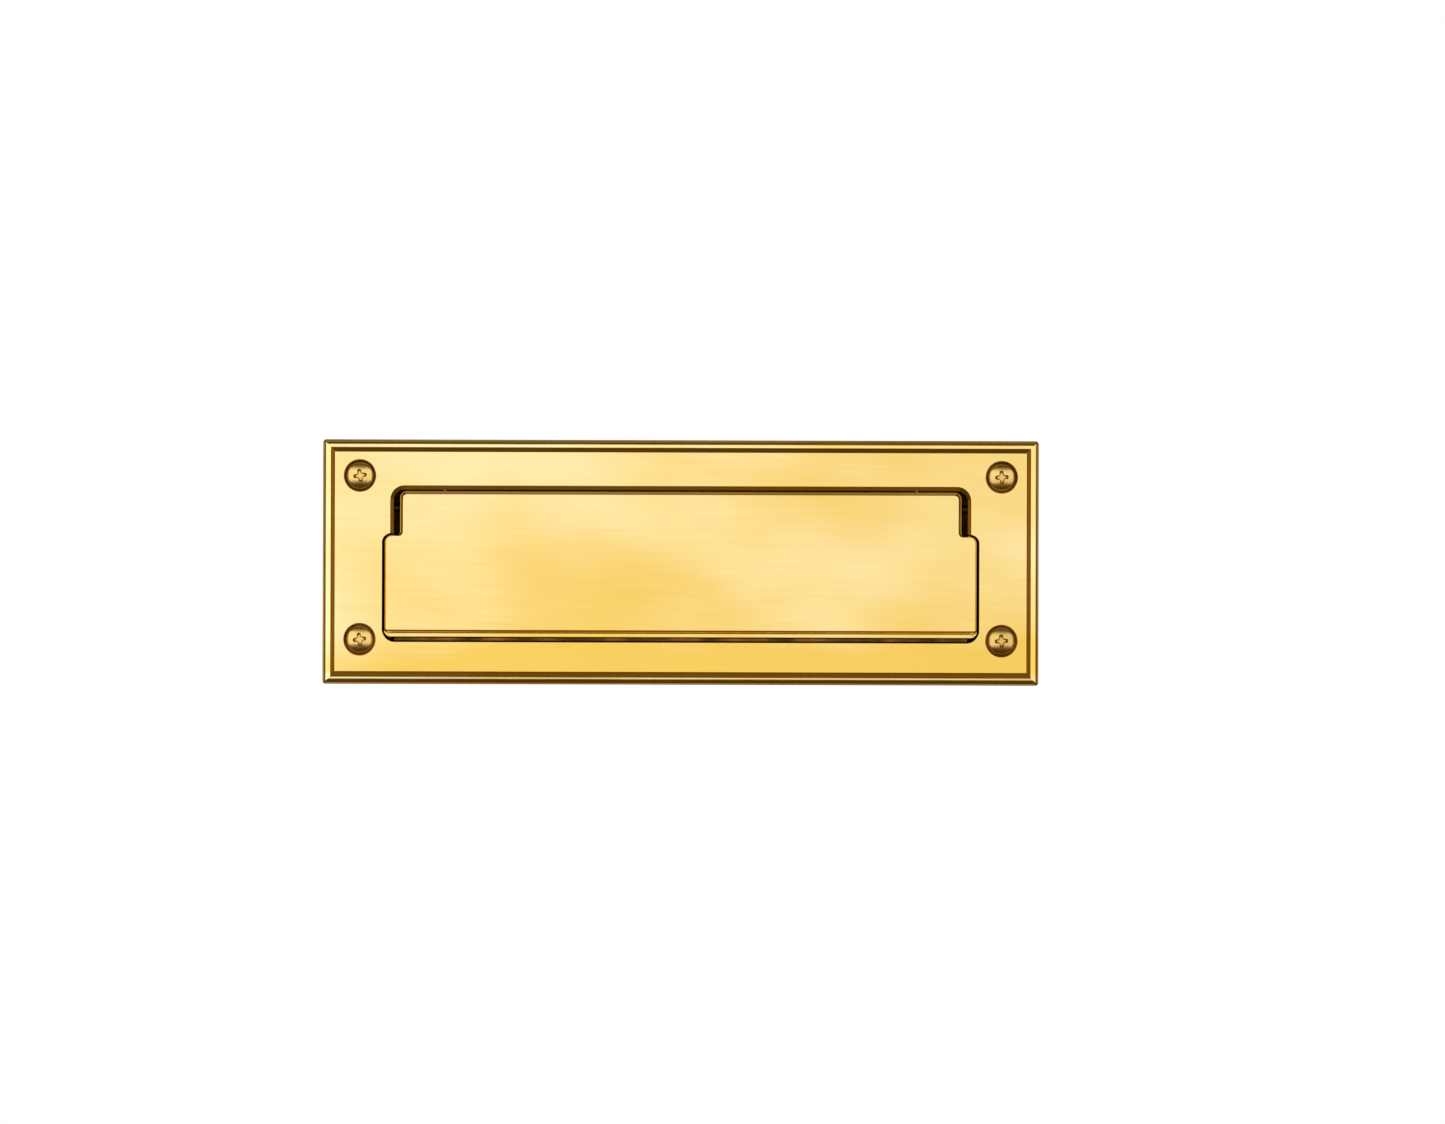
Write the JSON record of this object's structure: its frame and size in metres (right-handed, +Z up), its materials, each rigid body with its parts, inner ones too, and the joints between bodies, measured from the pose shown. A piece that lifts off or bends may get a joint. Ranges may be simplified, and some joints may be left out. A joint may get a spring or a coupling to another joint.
{
  "type": "door mail slot",
  "caption": "Brass door letter plate with a push-in flap, telescoping tunnel through the door, inner frame and draught flap.",
  "frame": {"origin": "middle of the slot, on the door's outer face, which is the plane of the outer plate's back rim", "axes": "+X to the right seen from the street, +Y into the door and the house, +Z up"},
  "size_m": [0.2698, 0.0592, 0.0922],
  "materials": {
    "polished_brass": "polished and lacquered",
    "screw_brass": "turned",
    "spring_steel": "plated wire and strip",
    "pin_steel": "ground rod",
    "anodised_sleeve": "satin anodised",
    "foam": "closed-cell foam",
    "rubber": "matte"
  },
  "bodies": {
    "outer_body": {"outer_plate": "polished_brass", "plate_screw_left_top": "screw_brass", "plate_screw_right_top": "screw_brass", "plate_screw_left_bottom": "screw_brass", "plate_screw_right_bottom": "screw_brass", "outer_hinge_pin": "pin_steel", "outer_pin_clip_left": "spring_steel", "outer_pin_clip_right": "spring_steel", "torsion_spring_left": "spring_steel", "torsion_spring_right": "spring_steel", "foam_gasket": "foam", "outer_bumper_left": "rubber", "outer_bumper_right": "rubber", "sleeve_outer": "anodised_sleeve"},
    "outer_flap_body": {"outer_flap": "polished_brass"},
    "inner_body": {"inner_plate": "polished_brass", "threaded_post_left_top": "screw_brass", "threaded_post_right_top": "screw_brass", "threaded_post_left_bottom": "screw_brass", "threaded_post_right_bottom": "screw_brass", "sleeve_inner": "anodised_sleeve", "inner_hinge_pin": "pin_steel", "inner_pin_clip_left": "spring_steel", "inner_pin_clip_right": "spring_steel", "inner_bumper_left": "rubber", "inner_bumper_right": "rubber"},
    "inner_flap_body": {"inner_flap": "polished_brass"}
  },
  "joints": [
    {"name": "outer_flap_hinge", "type": "hinge", "parent": "outer_body", "child": "outer_flap_body", "pos_m": [0, 0.0022, 0.0202], "axis": [1, 0, 0], "range_deg": [0, 60], "stiffness_Nm_per_rad": 0.16, "springref_deg": -34.38, "deforming": ["torsion_spring_left", "torsion_spring_right"]},
    {"name": "door_thickness_slide", "type": "slide", "parent": "outer_body", "child": "inner_body", "axis": [0, 1, 0], "range_m": [0, 0.0127]},
    {"name": "inner_flap_hinge", "type": "hinge", "parent": "inner_body", "child": "inner_flap_body", "pos_m": [0, 0.0511, 0.03], "axis": [1, 0, 0], "range_deg": [0, 85]}
  ]
}
